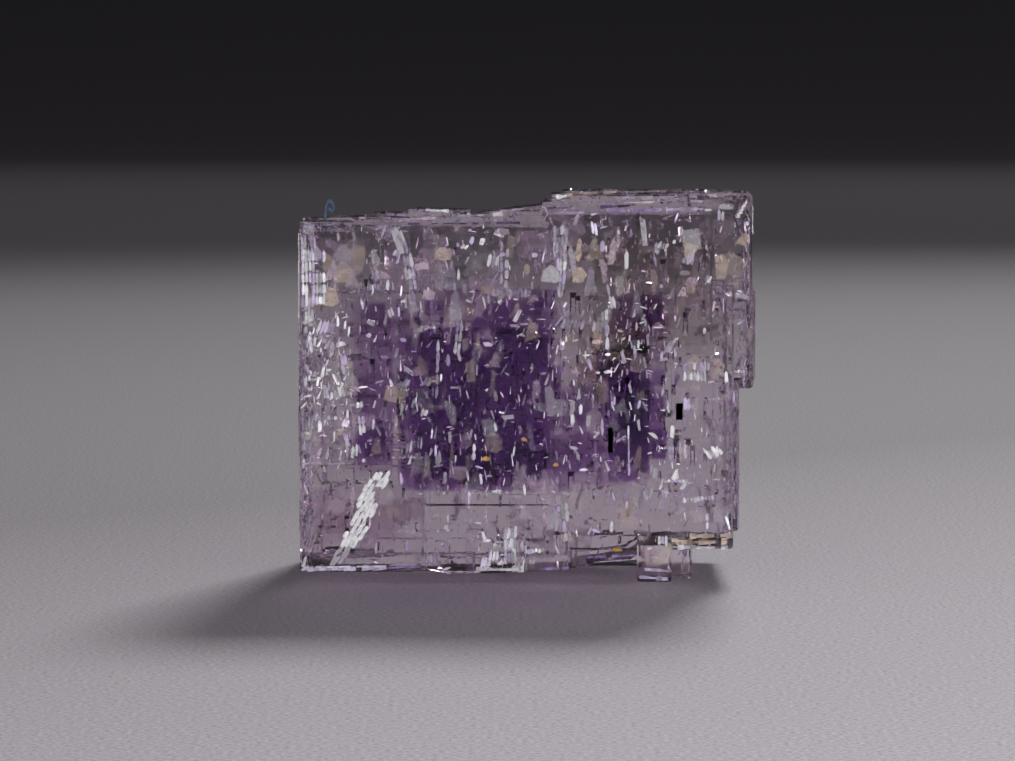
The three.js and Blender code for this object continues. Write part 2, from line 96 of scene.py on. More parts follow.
# What the photograph's front shows, as (left, top, right, bottom, lean in degrees, brightness).
# Each is a silvery flake on the front face, save the corner highlight, which is a painted highlight made
# as a flake. The few that have no flat face to lie on are left out.
FRONT_FLAKES = {
    "upper left patch, top": (301, 236, 317, 262, -4, 0.8),
    "upper left patch": (298, 250, 326, 306, 0, 0.8),
    "upper left patch, low": (298, 296, 314, 322, 0, 0.8),
    "block beside the first step": (372, 254, 378, 281, 0, 0.55),
    "steep streak, top": (398, 229, 411, 246, -20, 0.5),
    "steep streak": (403, 240, 413, 280, -8, 0.75),
    "steep streak, foot": (410, 276, 418, 303, -12, 0.6),
    "small triangle": (382, 226, 395, 239, 20, 0.45),
    "chip by the streak": (394, 249, 400, 256, 30, 0.6),
    "short upright": (386, 279, 390, 291, 0, 0.6),
    "pair of dots, left": (456, 242, 460, 247, 0, 0.95),
    "pair of dots, middle": (462, 244, 468, 249, 40, 0.85),
    "pair of dots, high": (470, 236, 475, 244, 20, 0.95),
    "pair of dots, right": (480, 237, 485, 244, 0, 0.95),
    "dot in the gap": (532, 252, 537, 257, 0, 0.95),
    "cloud": (484, 255, 499, 267, 10, 0.55),
    "faint square": (431, 268, 455, 290, 0, 0.2),
    "square's edge, high": (457, 269, 460, 280, 0, 0.6),
    "square's edge, low": (453, 281, 456, 290, 0, 0.6),
    "upright pair, left": (500, 229, 503, 284, 0, 0.4),
    "upright pair, right": (505, 248, 509, 290, 2, 0.45),
    "pale band": (492, 289, 531, 297, 2, 0.35),
    "white block at the notch": (525, 212, 535, 224, 0, 0.9),
    "white foot of the block": (518, 224, 527, 228, 0, 0.9),
    "pink line": (352, 283, 380, 289, 10, 0.3),
    "sliver under the pink line": (388, 308, 394, 317, -20, 0.6),
    "flat pair": (420, 326, 436, 329, 0, 0.6),
    "tall dark-side flake": (455, 321, 462, 353, 6, 0.5),
    "left cluster, high": (318, 321, 335, 333, 20, 0.7),
    "left cluster, outer": (307, 334, 312, 343, 0, 0.8),
    "left cluster, low": (326, 342, 334, 349, 30, 0.8),
    "long streak, top": (341, 354, 348, 376, -10, 0.65),
    "long streak, foot": (336, 374, 343, 397, -14, 0.65),
    "single fleck": (366, 333, 371, 339, 30, 0.8),
    "fleck above the blob": (395, 349, 401, 358, 20, 0.7),
    "fleck in the dark, left": (404, 377, 410, 387, 30, 0.65),
    "fleck in the dark, right": (424, 377, 431, 386, 20, 0.6),
    "hanging thread": (436, 340, 439, 397, 2, 0.4),
    "seam streak, top": (553, 226, 568, 246, 0, 0.45),
    "seam streak, middle": (555, 243, 567, 262, 0, 0.5),
    "seam streak, bright": (556, 258, 566, 284, 2, 0.75),
    "seam streak, foot": (558, 280, 564, 298, 8, 0.6),
    "slanting oval": (591, 220, 597, 236, -12, 0.8),
    "pale upright": (600, 239, 605, 252, 0, 0.6),
    "bright tick": (617, 229, 620, 236, 0, 0.9),
    "tall tick": (628, 216, 630, 227, 0, 0.7),
    "upright tick": (624, 251, 629, 268, 0, 0.65),
    "cyan flake": (717, 211, 725, 222, 0, 0.6),
    "corner dot": (745, 222, 749, 226, 0, 0.95),
    # A painted highlight on the top right corner, made as a flake.
    "corner highlight": (740, 189, 751, 198, 30, 0.9),
    "white quad": (593, 309, 608, 332, 4, 0.6),
    "quad's edge": (605, 312, 610, 348, 0, 0.55),
    "hook": (608, 284, 614, 307, -12, 0.6),
    "lens": (564, 308, 586, 330, 20, 0.35),
    "white square, right": (683, 362, 710, 381, 0, 0.8),
    "roof": (663, 339, 676, 354, 30, 0.55),
    "streak by the roof": (689, 346, 693, 361, 10, 0.7),
    "cyan tick": (703, 326, 706, 334, 0, 0.7),
    "warm dot": (672, 240, 676, 244, 0, 0.95),
    "warm dot, low": (659, 284, 663, 288, 0, 0.95),
    "slanting tick": (705, 275, 711, 283, 35, 0.8),
    "tangle, left": (688, 246, 694, 262, 20, 0.6),
    "tangle, middle": (682, 258, 694, 264, 10, 0.6),
    "wisp": (658, 242, 668, 249, 30, 0.6),
    "frame, top": (317, 416, 337, 420, 0, 0.75),
    "frame, left": (317, 419, 322, 434, 0, 0.8),
    "frame, right": (332, 419, 337, 434, 0, 0.85),
    "flake right of the frame": (342, 418, 349, 428, 20, 0.9),
    "leaning pair": (358, 415, 365, 434, -8, 0.85),
    "small square": (356, 402, 363, 408, 0, 0.8),
    "outer square": (330, 391, 340, 399, 0, 0.75),
    "upright below the frame": (345, 441, 349, 459, 0, 0.7),
    "cyan patch": (351, 446, 358, 458, 0, 0.7),
    "dot under the patch": (361, 459, 365, 463, 0, 0.95),
    "pale column": (301, 406, 311, 455, 0, 0.3),
    "level line": (300, 463, 345, 465, 0, 0.5),
    "pink outline": (388, 457, 423, 459, 0, 0.4),
    "flake at the outline": (406, 441, 412, 453, 10, 0.6),
    "fleck at mid left": (421, 409, 428, 416, 20, 0.75),
    "upright in the dark": (435, 451, 441, 466, 0, 0.55),
    "pale tick": (448, 431, 452, 445, 0, 0.65),
    "bright tick, low": (472, 442, 476, 462, 0, 0.8),
    "tick above the clear base": (449, 499, 452, 513, 0, 0.75),
    "upright across the edge": (465, 480, 468, 506, 0, 0.55),
    "level violet line": (467, 492, 510, 494, 0, 0.35),
    "pink ledge": (391, 530, 453, 533, -3, 0.4),
    "bright end of the ledge": (444, 525, 452, 531, 0, 0.75),
    "big cluster, bar": (493, 544, 501, 548, 0, 0.85),
    "big cluster, left": (489, 551, 499, 562, 10, 0.95),
    "big cluster, outer": (481, 557, 487, 568, 14, 0.85),
    "big cluster, upright": (504, 527, 517, 564, 0, 0.7),
    "big cluster, line beside it": (524, 549, 545, 554, -8, 0.85),
    "big cluster, last fleck": (529, 560, 535, 565, 20, 0.8),
    "low pale block": (426, 553, 439, 566, 0, 0.4),
    "flake by the gold": (570, 402, 575, 426, 0, 0.8),
    "row of flakes, first": (579, 406, 583, 415, 0, 0.8),
    "row of flakes, second": (586, 414, 591, 427, 10, 0.85),
    "row of flakes, third": (592, 405, 596, 416, 0, 0.85),
    "row of flakes, fourth": (598, 418, 604, 435, 0, 0.75),
    "long upright": (628, 426, 630, 486, -1, 0.8),
    "right column, first": (670, 424, 675, 438, 0, 0.85),
    "right column, second": (668, 445, 673, 461, -6, 0.85),
    "right column, third": (673, 471, 678, 481, 20, 0.95),
    "corner mark, level": (664, 480, 689, 483, 0, 0.8),
    "corner mark, slant": (677, 482, 689, 493, 40, 0.7),
    "corner mark, foot": (661, 486, 667, 511, 16, 0.65),
    "level tick": (711, 479, 727, 481, 0, 0.85),
    "level bar": (683, 497, 715, 502, -10, 0.8),
    "short upright, right": (706, 513, 709, 531, 0, 0.85),
    "white oval": (707, 447, 722, 460, -40, 0.9),
    "tan oval": (680, 446, 686, 456, 0, 0.5),
    "bright spot": (684, 397, 690, 409, 0, 0.95),
    "low streak": (562, 501, 570, 543, -6, 0.75),
    "yellow cap": (556, 507, 561, 513, 0, 0.95),
    "short streak": (610, 522, 614, 536, 0, 0.75),
    "lower left corner": (302, 557, 322, 572, 20, 0.6),
    "foot's bright seam": (658, 536, 668, 546, 0, 0.9),
}

# Fields of fine flakes in the front, as (left, top, right, bottom), how many, their half length in mm,
# brightness and tint.
FLAKE_FIELDS = {
    "left cluster": ((302, 312, 350, 470), 200, (0.06, 0.32), (0.8, 1.0), "silver"),
    "upper left": ((305, 226, 555, 300), 70, (0.05, 0.25), (0.4, 0.9), "silver"),
    "left of the zone": ((345, 300, 420, 480), 90, (0.05, 0.3), (0.3, 0.9), "silver"),
    "violet zone": ((400, 296, 562, 494), 330, (0.05, 0.3), (0.3, 0.95), "silver"),
    "golden": ((566, 326, 655, 392), 70, (0.05, 0.2), (0.5, 0.9), "tan"),
    "right of the seam": ((562, 300, 668, 495), 190, (0.05, 0.3), (0.4, 1.0), "silver"),
    "upper right": ((600, 222, 745, 345), 150, (0.04, 0.16), (0.4, 0.95), "pink"),
    "right margin": ((668, 345, 735, 545), 70, (0.05, 0.35), (0.6, 1.0), "silver"),
    "base": ((305, 492, 690, 566), 60, (0.04, 0.2), (0.3, 0.9), "pink"),
    "white foot of the middle": ((478, 535, 528, 573), 60, (0.06, 0.3), (0.8, 1.0), "silver"),
}

# Kinds of scattered flake, as (depth under the side, half length, brightness), lengths in mm.
FINE = ((-0.02, 0.6), (0.03, 0.32), (0.2, 0.9))
GLINTS = ((-0.02, 0.5), (0.03, 0.3), (0, 1))
BRIGHT = ((-0.02, 0.3), (0.06, 0.7), (0.4, 1))
DEEP = ((1, 9), (0.05, 0.5), (0, 0.7))

# How many of each kind a side has. The front has its own fields of flakes as well.
SCATTERED = {
    "front": {"fine": 240, "glints": 320},
    "back": {"fine": 670, "glints": 530, "bright": 180},
    "left": {"fine": 420, "glints": 330, "bright": 110},
    "right": {"fine": 420, "glints": 330, "bright": 110},
    "top": {"fine": 420, "glints": 330, "bright": 110},
}

# How many faint facets lie on the front.
FACET_COUNT = 420

# The front's scattered flakes keep off the foot, which is clear.
CLEAR_FOOT = (634, 546, 694, 584)

# Where etch pits are dense in the front, as (left, top, right, bottom).
PITTED = {
    "left": (300, 305, 350, 475),
    "zone": (345, 295, 670, 495),
    "upper right": (600, 222, 745, 345),
    "right": (660, 345, 735, 500),
}

# The slanting crack at the lower left, from its upper end to its faint tail: where the middle line of
# each part starts and ends, how wide the part is, and how bright.
CRACK_PARTS = {
    "upper": ((383, 473), (364, 506), 16, 1.0),
    "lower": ((370, 505), (348, 546), 17, 1.0),
    "tail": ((348, 545), (335, 565), 11, 0.4),
}

# Lines along the top and the lower edges: painted highlights and painted glow where the edges catch the
# light, and painted shade where they look dark, a few of them along real steps of the top, as (left, row
# there, right, row there, how many rows thick, brightness, tint).
PAINTED_EDGE_LINES = {
    "dark edge, upper left": (299, 220, 352, 221, 1.4, 0.0, "violet"),
    "pale line under it": (303, 225, 352, 225, 1.2, 0.45, "lilac"),
    "pale line, left": (334, 221, 346, 220, 1.4, 0.5, "lilac"),
    "cream line": (354, 218, 388, 218, 1.8, 0.7, "pink"),
    "dark band, left": (372, 215, 410, 218, 2.0, 0.0, "violet"),
    "white arch, rise": (396, 213, 420, 210, 2.2, 0.8, "silver"),
    "white arch": (420, 210, 449, 211, 2.6, 1.0, "silver"),
    "pink band": (410, 219, 442, 218, 2.6, 0.6, "pink"),
    "long dark band": (408, 224, 520, 223, 2.6, 0.0, "violet"),
    "dark upper line": (447, 211, 525, 206, 2.0, 0.0, "violet"),
    "grey band": (458, 216, 490, 215, 2.4, 0.5, "silver"),
    "pale patch": (488, 215, 503, 214, 4.0, 0.7, "silver"),
    "pink line": (500, 211, 524, 209, 1.6, 0.6, "pink"),
    "white foot of the block": (518, 226, 528, 225, 2.0, 1.0, "silver"),
    "pale slope": (530, 206, 550, 201, 2.0, 0.6, "silver"),
    "white corner": (551, 198, 566, 196, 4.0, 1.0, "silver"),
    "first tier": (566, 195, 616, 192, 3.0, 0.65, "tan"),
    "dark outline, left": (557, 190, 618, 189, 1.4, 0.0, "violet"),
    "white crest": (620, 188, 636, 187, 1.6, 1.0, "silver"),
    "pink tier": (648, 191, 690, 190, 1.6, 0.6, "pink"),
    "dark line under it": (648, 193, 696, 193, 1.4, 0.05, "violet"),
    "lilac tier": (694, 189, 737, 189, 1.8, 0.55, "lilac"),
    "grey tier": (616, 198, 702, 197, 3.2, 0.4, "silver"),
    "pink line, right": (624, 203, 702, 201, 1.8, 0.6, "pink"),
    "lower dark, left": (541, 208, 568, 208, 2.2, 0.0, "violet"),
    "lilac line, left": (549, 213, 590, 213, 2.4, 0.5, "lilac"),
    "deep violet band": (600, 207, 636, 206, 3.4, 0.05, "violet"),
    "lilac line, middle": (591, 215, 608, 211, 2.4, 0.7, "lilac"),
    "glowing violet": (608, 212, 656, 210, 4.0, 0.75, "violet"),
    "lilac line, right": (655, 210, 703, 209, 3.2, 0.6, "lilac"),
    "white end": (698, 210, 711, 210, 3.4, 1.0, "silver"),
    "lower left bevel": (301, 570, 386, 569, 5.0, 0.95, "lilac"),
    "lower left bevel, end": (386, 569, 421, 567, 2.6, 0.75, "violet"),
    "lower middle edge": (428, 572, 480, 573, 1.6, 0.5, "pink"),
    "violet lower edge": (540, 570, 569, 569, 2.6, 0.75, "violet"),
    "violet lower line": (588, 558, 636, 556, 3.0, 0.7, "violet"),
    "pale line under the violet": (594, 563, 634, 560, 2.0, 0.6, "lilac"),
    "cream bevel, bright": (672, 541, 684, 542, 4.5, 1.0, "tan"),
    "cream bevel, high": (684, 537, 733, 536, 6.0, 0.55, "tan"),
    "cream bevel": (676, 543, 733, 542, 6.0, 0.7, "tan"),
    "cream bevel, low": (678, 548, 728, 548, 4.5, 0.85, "silver"),
    "foot, upper line": (650, 555, 661, 553, 1.6, 0.6, "lilac"),
    "foot, lilac line": (645, 570, 672, 572, 3.0, 0.8, "lilac"),
    "foot, low line": (640, 578, 668, 580, 3.4, 0.65, "lilac"),
    "white foot of the middle, step": (484, 565, 504, 564, 4.0, 0.9, "silver"),
    "white foot of the middle": (476, 570, 524, 570, 5.4, 1.0, "silver"),
    "lower left bevel, upper": (303, 568, 386, 567, 3.4, 0.9, "silver"),
    "dark right edge": (736, 478, 737, 530, 1.6, 0.0, "violet"),
}

# Tints along the flakes' own colour scale.
TINTS = {"silver": 0.0, "lilac": 0.25, "violet": 0.5, "pink": 0.75, "tan": 1.0}

# How far a flake on the front rises and turns, in degrees, to mirror a low strip light.
MIRROR_RISE = -3
MIRROR_TURN = 15

# How deep under a side the middle of a flake lies that shows at its surface, in mm.
ON_SURFACE = -0.005

# Gold-coloured specks, as (column, row, size in mm).
GOLD_SPECKS = {
    "in the dark middle": (486, 459, 0.34),
    "thin one": (524, 440, 0.26),
    "by the lower edge": (618, 550, 0.42),
    "by the seam": (556, 465, 0.24),
}

# The zones of colour, as pixel boxes on the front (left, top, right, bottom), with the depth in mm
# where each one starts and ends, its colour, and how much it takes up, per metre.
VIOLET = (0.42, 0.05, 0.6)
SMOKY = (0.5, 0.45, 0.35)
GOLDEN = (0.6, 0.36, 0.3)
ROSY = (0.62, 0.3, 0.55)
COLOUR_ZONES = {
    "violet_main": ((396, 332, 562, 492), (-4.6, 3.4), VIOLET, 440),
    "violet_upper": ((428, 292, 564, 348), (-4.6, 2.6), VIOLET, 300),
    "violet_left": ((350, 346, 404, 482), (-4.4, 2.9), VIOLET, 220),
    "violet_upper_left": ((342, 304, 440, 356), (-4.3, 2.1), VIOLET, 220),
    "violet_by_the_seam": ((528, 292, 558, 326), (-4.9, -1.5), VIOLET, 700),
    "violet_right": ((598, 350, 668, 488), (-4.7, 3.0), VIOLET, 540),
    "violet_between": ((554, 376, 604, 494), (-4.2, 2.4), VIOLET, 330),
    "violet_upper_right": ((600, 290, 676, 356), (-4.4, 2.7), VIOLET, 220),
    "violet_block_left": ((350, 306, 384, 338), (-4.9, -2.4), VIOLET, 560),
    "violet_block_middle": ((394, 300, 418, 326), (-4.9, -2.6), VIOLET, 560),
    "violet_block_high": ((424, 296, 452, 330), (-4.9, -2.4), VIOLET, 620),
    "violet_block_outer": ((354, 430, 384, 460), (-4.8, -2.2), VIOLET, 520),
    "violet_block_low": ((400, 455, 562, 494), (-4.9, -1.2), VIOLET, 520),
    "violet_block_right": ((618, 376, 664, 452), (-4.8, -1.4), VIOLET, 560),
    "violet_block_roof": ((640, 296, 664, 330), (-4.7, -2.0), VIOLET, 520),
    "rosy_foot": ((640, 550, 690, 582), (-5.2, -3.4), ROSY, 520),
    "smoky": ((572, 230, 735, 372), (-4.6, 4.2), SMOKY, 85),
    "golden": ((566, 322, 660, 396), (-4.8, -0.5), GOLDEN, 260),
    "rosy": ((306, 496, 420, 560), (-4.8, 4.0), ROSY, 80),
}


def column_mm(column):
    return (column - MIDDLE_COLUMN) / PIXELS_PER_MM


def row_mm(row):
    return (GROUND_ROW - row) / PIXELS_PER_MM


def camera_place():
    """Where the camera stands, in mm."""
    front = CAD_BOUNDS[0][1] / MM
    return Vector((column_mm(PHOTO_CENTRE[0]), front - CAMERA_DISTANCE, CAMERA_HEIGHT))


def in_pixels(point, box):
    """Whether a point of the front, in mm, lies in a pixel box."""
    left, top, right, bottom = box
    return column_mm(left) < point.x < column_mm(right) and row_mm(bottom) < point.z < row_mm(top)


def add_object(name, data):
    piece = bpy.data.objects.new(name, data)
    bpy.context.scene.collection.objects.link(piece)
    return piece


def object_from(bm, name):
    """A new object with the faces of bm, all pointing outwards."""
    bmesh.ops.recalc_face_normals(bm, faces=bm.faces[:])
    mesh = bpy.data.meshes.new(name)
    bm.to_mesh(mesh)
    bm.free()
    return add_object(name, mesh)


def add_prism(bm, base, top, look=None):
    """Adds a closed solid between two rings of points, and gives its faces a look, which is
    (brightness, tint, opacity)."""
    count = len(base)
    low = [bm.verts.new(point) for point in base]
    high = [bm.verts.new(point) for point in top]
    faces = [bm.faces.new(list(reversed(low))), bm.faces.new(high)]
    for n in range(count):
        after = (n + 1) % count
        faces.append(bm.faces.new((low[n], low[after], high[after], high[n])))
    if look is not None:
        layer = bm.loops.layers.float_color["look"]
        for face in faces:
            for loop in face.loops:
                loop[layer] = (*look, 1)


def apply_boolean(piece, other, operation):
    """Joins other to piece, or cuts it out of it, and deletes other."""
    modifier = piece.modifiers.new("cut", "BOOLEAN")
    modifier.object = other
    modifier.operation = operation
    modifier.solver = "MANIFOLD"
    depsgraph = bpy.context.evaluated_depsgraph_get()
    mesh = bpy.data.meshes.new_from_object(piece.evaluated_get(depsgraph))
    piece.modifiers.clear()
    piece.data = mesh
    bpy.data.objects.remove(other, do_unlink=True)


class Skin:
    """The crystal's outer surface, asked for its level at a place on one of its sides."""

    def __init__(self, piece):
        bm = bmesh.new()
        bm.from_mesh(piece.data)
        self.tree = BVHTree.FromBMesh(bm)
        bm.free()

    def holds(self, points, slack=0.08):
        """Whether all the points, in metres, lie in the crystal or at most slack mm out of it."""
        for point in points:
            hit, normal, _, _ = self.tree.find_nearest(point)
            if (point - hit).dot(normal) > slack * MM:
                return False
        return True

    def seen_at(self, column, row):
        """The place on the surface that the photograph shows at a pixel, in metres, or None."""
        eye = camera_place() * MM
        pixel = Vector((column_mm(column), CAD_BOUNDS[0][1] / MM, row_mm(row))) * MM
        hit, _, _, _ = self.tree.ray_cast(eye, (pixel - eye).normalized())
        return hit

    def level(self, side, u, v):
        """How far out the surface lies at u, v in mm, or None where there is no flat face."""
        along, up, out = SIDES[side]
        start = (along * u + up * v + out * 30) * MM
        hit, normal, _, _ = self.tree.ray_cast(start, -out)
        if hit is None or normal.dot(out) < 0.97:
            return None
        return hit.dot(out) / MM

    def flat_level(self, side, u, v, half_u, half_v):
        """The level at u, v if the whole rectangle round it lies at nearly that level."""
        middle = self.level(side, u, v)
        if middle is None:
            return None
        shares = (-1, -0.6, -0.3, 0, 0.3, 0.6, 1)
        for share_u in shares:
            for share_v in shares:
                spot = self.level(side, u + share_u * half_u, v + share_v * half_v)
                if spot is None or abs(spot - middle) > 0.04:
                    return None
        return middle


def side_range(side):
    """The lowest and highest u and v of a side, in mm."""
    along, up, _ = SIDES[side]
    low, high = (Vector(corner) for corner in CAD_BOUNDS)
    us = sorted((low.dot(along) / MM, high.dot(along) / MM))
    vs = sorted((low.dot(up) / MM, high.dot(up) / MM))
    return us, vs


def crooked_rectangle(half_u, half_v, rng):
    """The four corners of a rectangle, each drawn in a little by its own amount."""
    corners = []
    for sign_u, sign_v in ((-1, -1), (1, -1), (1, 1), (-1, 1)):
        corners.append((sign_u * half_u * rng.uniform(0.84, 1), sign_v * half_v * rng.uniform(0.86, 1)))
    return corners


def pitted_share(side, u, v):
    """How much of a side is pitted at u, v: most of the front's marked parts, little elsewhere."""
    if side != "front":
        return 0.2
    point = Vector((u, 0, v))
    return 0.7 if any(in_pixels(point, box) for box in PITTED.values()) else 0.08


def grid_cells(side, cell, rng):
    """The cells of a grid over a side, column by column, each column starting at its own height."""
    (u0, u1), (v0, v1) = side_range(side)
    u = u0 + rng.uniform(0, cell[0])
    while u < u1:
        v = v0 + rng.uniform(0, cell[1])
        while v < v1:
            yield u, v
            v += cell[1]
        u += cell[0]


def mosaic(skin, side, cell, fill, rise, slope, seed):
    """Low plates over one side, one in each cell of a grid, so that none meets another. The face of
    each leans a little its own way, as the growth faces of the real crystal do."""
    along, up, out = SIDES[side]
    rng = random.Random(seed)
    sunk = 0.06
    lowest_lift = 0.004
    bm = bmesh.new()
    for u, v in grid_cells(side, cell, rng):
        half_u = cell[0] * rng.uniform(0.2, 0.47)
        half_v = cell[1] * rng.uniform(0.2, 0.47)
        middle_u = u + rng.uniform(-1, 1) * (cell[0] / 2.05 - half_u)
        middle_v = v + rng.uniform(-1, 1) * (cell[1] / 2.05 - half_v)
        level = skin.flat_level(side, middle_u, middle_v, half_u, half_v)
        wanted = rng.random() < fill
        height = rng.uniform(0.3, 1) * rise
        lean_u = rng.uniform(-1, 1) * slope
        lean_v = rng.uniform(-1, 1) * slope
        if level is None or not wanted:
            continue
        base = []
        top = []
        for du, dv in crooked_rectangle(half_u, half_v, rng):
            place = along * (middle_u + du) + up * (middle_v + dv)
            lift = max(lowest_lift, height + lean_u * du + lean_v * dv)
            base.append((place + out * (level - sunk)) * MM)
            top.append((place + out * (level + lift)) * MM)
        add_prism(bm, base, top)
    return object_from(bm, "mosaic")


def etch_pits(skin, side, cell, size, depth, seed):
    """Small sunken marks over one side, with sloping walls that meet in a ridge line."""
    along, up, out = SIDES[side]
    rng = random.Random(seed)
    rim = 0.02
    bm = bmesh.new()
    for u, v in grid_cells(side, (cell, cell), rng):
        long_half = size * rng.uniform(0.35, 1)
        short_half = size * rng.uniform(0.18, 0.34)
        half_u, half_v = (short_half, long_half) if rng.random() < 0.72 else (long_half, short_half)
        deep = depth * rng.uniform(0.4, 1)
        mouth_share = 1 + rim / deep
        middle_u = u + rng.uniform(-1, 1) * max(0, cell / 2.1 - half_u * mouth_share)
        middle_v = v + rng.uniform(-1, 1) * max(0, cell / 2.1 - half_v * mouth_share)
        wanted = rng.random() < pitted_share(side, middle_u, middle_v)
        shift_u = rng.uniform(-0.5, 0.5) * half_u
        shift_v = rng.uniform(-0.3, 0.3) * half_v
        level = skin.flat_level(side, middle_u, middle_v, half_u, half_v)
        if level is None or not wanted:
            continue
        widest = cell / 2.1 / mouth_share
        floor = []
        mouth = []
        for du, dv in crooked_rectangle(min(half_u, widest), min(half_v, widest), rng):
            at = along * (middle_u + du * mouth_share) + up * (middle_v + dv * mouth_share)
            mouth.append((at + out * (level + rim)) * MM)
            low = along * (middle_u + shift_u + du * 0.12) + up * (middle_v + shift_v + dv * 0.5)
            floor.append((low + out * (level - deep)) * MM)
        add_prism(bm, floor, mouth)
    return object_from(bm, "pits")


def crystal_body():
    """The crystal with its fine growth steps and etch pits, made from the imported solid's shape."""
    bm = bmesh.new()
    bm.from_mesh(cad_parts[NODE].data)
    bmesh.ops.remove_doubles(bm, verts=bm.verts[:], dist=1e-7)
    low, high = (Vector(corner) for corner in CAD_BOUNDS)
    low += Vector((SKIN_ROOM, SKIN_ROOM, 0)) * MM
    high -= Vector((SKIN_ROOM, SKIN_ROOM, SKIN_ROOM)) * MM
    for vertex in bm.verts:
        for axis in range(3):
            vertex.co[axis] = min(max(vertex.co[axis], low[axis]), high[axis])
    piece = object_from(bm, "fluorite_body")
    for number, side in enumerate(SIDES):
        for seed, plates in zip((10, 20), PLATES):
            apply_boolean(piece, mosaic(Skin(piece), side, *plates, seed + number), "UNION")
        apply_boolean(piece, etch_pits(Skin(piece), side, *PITS, 30 + number), "DIFFERENCE")
    print("crystal faces", len(piece.data.polygons))
    return piece


def new_material(name):
    material = bpy.data.materials.new(name)
    material.use_nodes = True
    material.node_tree.nodes.clear()
    output = material.node_tree.nodes.new("ShaderNodeOutputMaterial")
    return material, material.node_tree, output


def add_node(tree, kind, **values):
    """A new shader node, with constants set on its own sockets. A space in a name is written _."""
    node = tree.nodes.new("ShaderNode" + kind)
    for name, value in values.items():
        node.inputs[name.replace("_", " ")].default_value = value
    return node


def noise_at(tree, place, scale, detail=2):
    """Noise that stays with the piece, from 0 to 1."""
    noise = add_node(tree, "TexNoise", Scale=scale, Detail=detail)
    tree.links.new(place.outputs["Object"], noise.inputs["Vector"])
    return noise.outputs["Fac"]


def mapped(tree, value, low, high, to_low, to_high, interpolation="LINEAR"):
    """The value, moved from the range low to high to the range to_low to to_high."""
    node = add_node(tree, "MapRange", From_Min=low, From_Max=high, To_Min=to_low, To_Max=to_high)
    node.interpolation_type = interpolation
    tree.links.new(value, node.inputs["Value"])
    return node.outputs["Result"]


def combined(tree, operation, one, other, clamp=False):
    node = add_node(tree, "Math")
    node.operation = operation
    node.use_clamp = clamp
    tree.links.new(one, node.inputs[0])
    tree.links.new(other, node.inputs[1])
    return node.outputs["Value"]


def ramp(tree, value, first, last, places=(0, 1), between=()):
    """A colour from first to last, with more of them between as (place, colour)."""
    node = add_node(tree, "ValToRGB")
    for stop, place, colour in zip(node.color_ramp.elements, places, (first, last)):
        stop.position = place
        stop.color = (*colour, 1)
    for place, colour in between:
        node.color_ramp.elements.new(place).color = (*colour, 1)
    tree.links.new(value, node.inputs["Fac"])
    return node.outputs["Color"]


def principled(name, **values):
    """A new material with one principled shader, whose constants are set on its own sockets."""
    material, tree, output = new_material(name)
    shader = add_node(tree, "BsdfPrincipled", **values)
    tree.links.new(shader.outputs["BSDF"], output.inputs["Surface"])
    return material, tree, shader, output


def add_bump(tree, shader, height, strength, distance):
    """A fine relief, distance in mm."""
    bump = add_node(tree, "Bump", Strength=strength, Distance=distance * MM)
    tree.links.new(height, bump.inputs["Height"])
    tree.links.new(bump.outputs["Normal"], shader.inputs["Normal"])


def add_absorption(tree, output, colour, density):
    inside = add_node(tree, "VolumeAbsorption", Color=(*colour, 1), Density=density)
    tree.links.new(inside.outputs["Volume"], output.inputs["Volume"])


def fluorite_material():
    """Clear, faintly lilac fluorite. Its faces are glossy, with duller etched patches, and its back is
    etched all over, so that it spreads the light that falls on it from behind."""
    pale = (0.98, 0.955, 0.985, 1)
    material, tree, shader, output = principled(
        "fluorite_clear", Base_Color=pale, Transmission_Weight=1, IOR=FLUORITE_IOR
    )
    place = add_node(tree, "TexCoord")
    facing = add_node(tree, "SeparateXYZ")
    tree.links.new(place.outputs["Normal"], facing.inputs["Vector"])
    patches = mapped(tree, noise_at(tree, place, 700, 3), 0.45, 0.75, 0.02, 0.22)
    frosted = mapped(tree, facing.outputs["Y"], 0.5, 0.9, 0, 0.95)
    tree.links.new(combined(tree, "ADD", patches, frosted), shader.inputs["Roughness"])
    add_bump(tree, shader, noise_at(tree, place, 2600, 4), 0.35, 0.02)
    add_absorption(tree, output, (0.5, 0.2, 0.46), 36)
    return material


def zone_material(name, colour, density):
    """A zone where the fluorite has another colour. Its edge bends no light."""
    material, tree, output = new_material(name)
    clear = add_node(tree, "BsdfTransparent")
    tree.links.new(clear.outputs["BSDF"], output.inputs["Surface"])
    add_absorption(tree, output, colour, density)
    return material


def look_nodes(tree, dark, bright):
    """Reads the flakes' look attribute: their colour from brightness and tint, and their opacity."""
    look = add_node(tree, "VertexColor")
    look.layer_name = "look"
    parts = add_node(tree, "SeparateColor")
    tree.links.new(look.outputs["Color"], parts.inputs["Color"])
    between = {"lilac": (0.86, 0.74, 1), "violet": (0.5, 0.32, 0.78), "pink": (1, 0.8, 0.88)}
    stops = [(TINTS[name], colour) for name, colour in between.items()]
    colour = add_node(tree, "Mix")
    colour.data_type = "RGBA"
    colour.blend_type = "MULTIPLY"
    colour.inputs["Factor"].default_value = 1
    tree.links.new(ramp(tree, parts.outputs["Red"], dark, bright), colour.inputs["A"])
    tint = ramp(tree, parts.outputs["Green"], (1, 1, 1), (1, 0.82, 0.62), between=stops)
    tree.links.new(tint, colour.inputs["B"])
    return colour.outputs["Result"], parts.outputs["Blue"]


